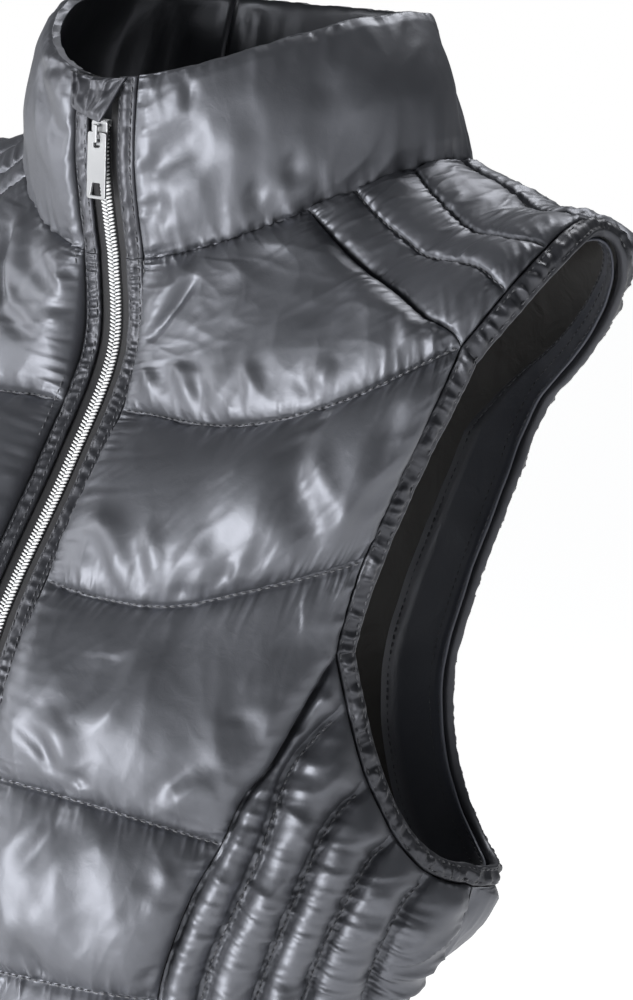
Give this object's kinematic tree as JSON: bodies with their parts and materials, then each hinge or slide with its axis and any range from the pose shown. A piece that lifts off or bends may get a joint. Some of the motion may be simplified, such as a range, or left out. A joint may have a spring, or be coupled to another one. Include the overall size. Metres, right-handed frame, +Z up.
{
  "type": "quilted vest",
  "caption": "Sleeveless quilted padded vest with a stand collar, slim side panels and a full-length front zip, holding its worn, hollow shape.",
  "frame": {"origin": "midway between the two high points of the shoulders, where the wearer holds the vest up", "axes": "+X is the wearer's left, -Y the front with the zip, +Z up; the hem is at z = -0.62 m and the back of the collar at z = +0.058 m"},
  "size_m": [0.3502, 0.2351, 0.6783],
  "materials": {
    "shell": "satin",
    "shell_trim": "satin",
    "facing": "satin",
    "tape": "matte",
    "coil": "gloss",
    "metal": "satin"
  },
  "bodies": {
    "vest": {"front_left": "shell", "front_right": "shell", "side_left": "shell", "side_right": "shell", "yoke_left": "shell", "yoke_right": "shell", "back": "shell", "armhole_band_left": "shell_trim", "armhole_band_right": "shell_trim", "armhole_facing_left": "facing", "armhole_facing_right": "facing", "collar_left": "shell", "collar_right": "shell", "collar_back": "shell", "zip_strip_left": "shell_trim", "zip_strip_right": "shell_trim", "zip_tape_left": "tape", "zip_tape_right": "tape", "zip_chain": "coil", "zip_slider": "metal", "zip_garage": "shell_trim"},
    "pull_tab": {"pull_tab": "metal"}
  },
  "joints": [
    {"name": "pull_tab_swing", "type": "hinge", "parent": "vest", "child": "pull_tab", "pos_m": [0, -0.09733, 0.00146], "axis": [-1, 0, 0], "range_deg": [0, 85]}
  ]
}
